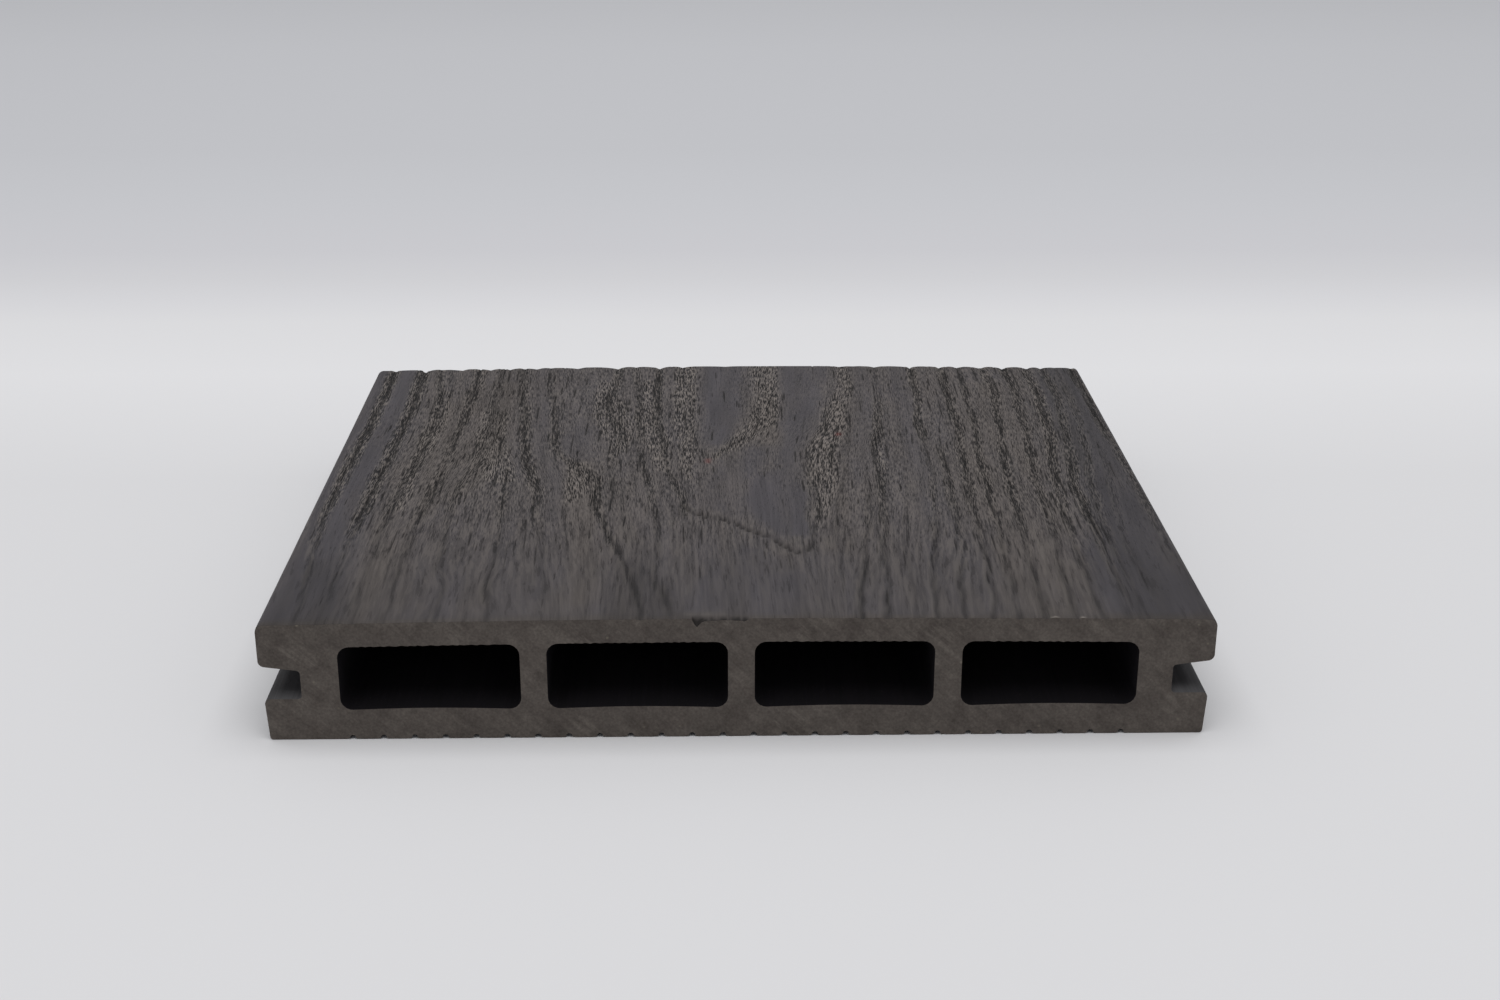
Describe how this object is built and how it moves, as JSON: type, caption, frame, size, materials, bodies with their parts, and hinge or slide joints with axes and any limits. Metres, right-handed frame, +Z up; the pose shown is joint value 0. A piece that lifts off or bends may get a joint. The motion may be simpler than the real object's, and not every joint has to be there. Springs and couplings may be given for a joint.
{
  "type": "hollow composite decking board",
  "caption": "Short length of hollow wood-plastic composite decking board with an embossed wood-grain top, side clip slots and a grooved underside.",
  "frame": {"origin": "middle of the base, on the plane that the board lies on", "axes": "+X across the width, +Y along the length from the sawn end that faces the viewer to the far one, +Z up through the embossed top"},
  "size_m": [0.145, 0.124, 0.02],
  "materials": {
    "composite": "matt dark grey wood-plastic composite, embossed top, sawn ends"
  },
  "bodies": {
    "root": {"decking_board": "composite"}
  },
  "joints": []
}
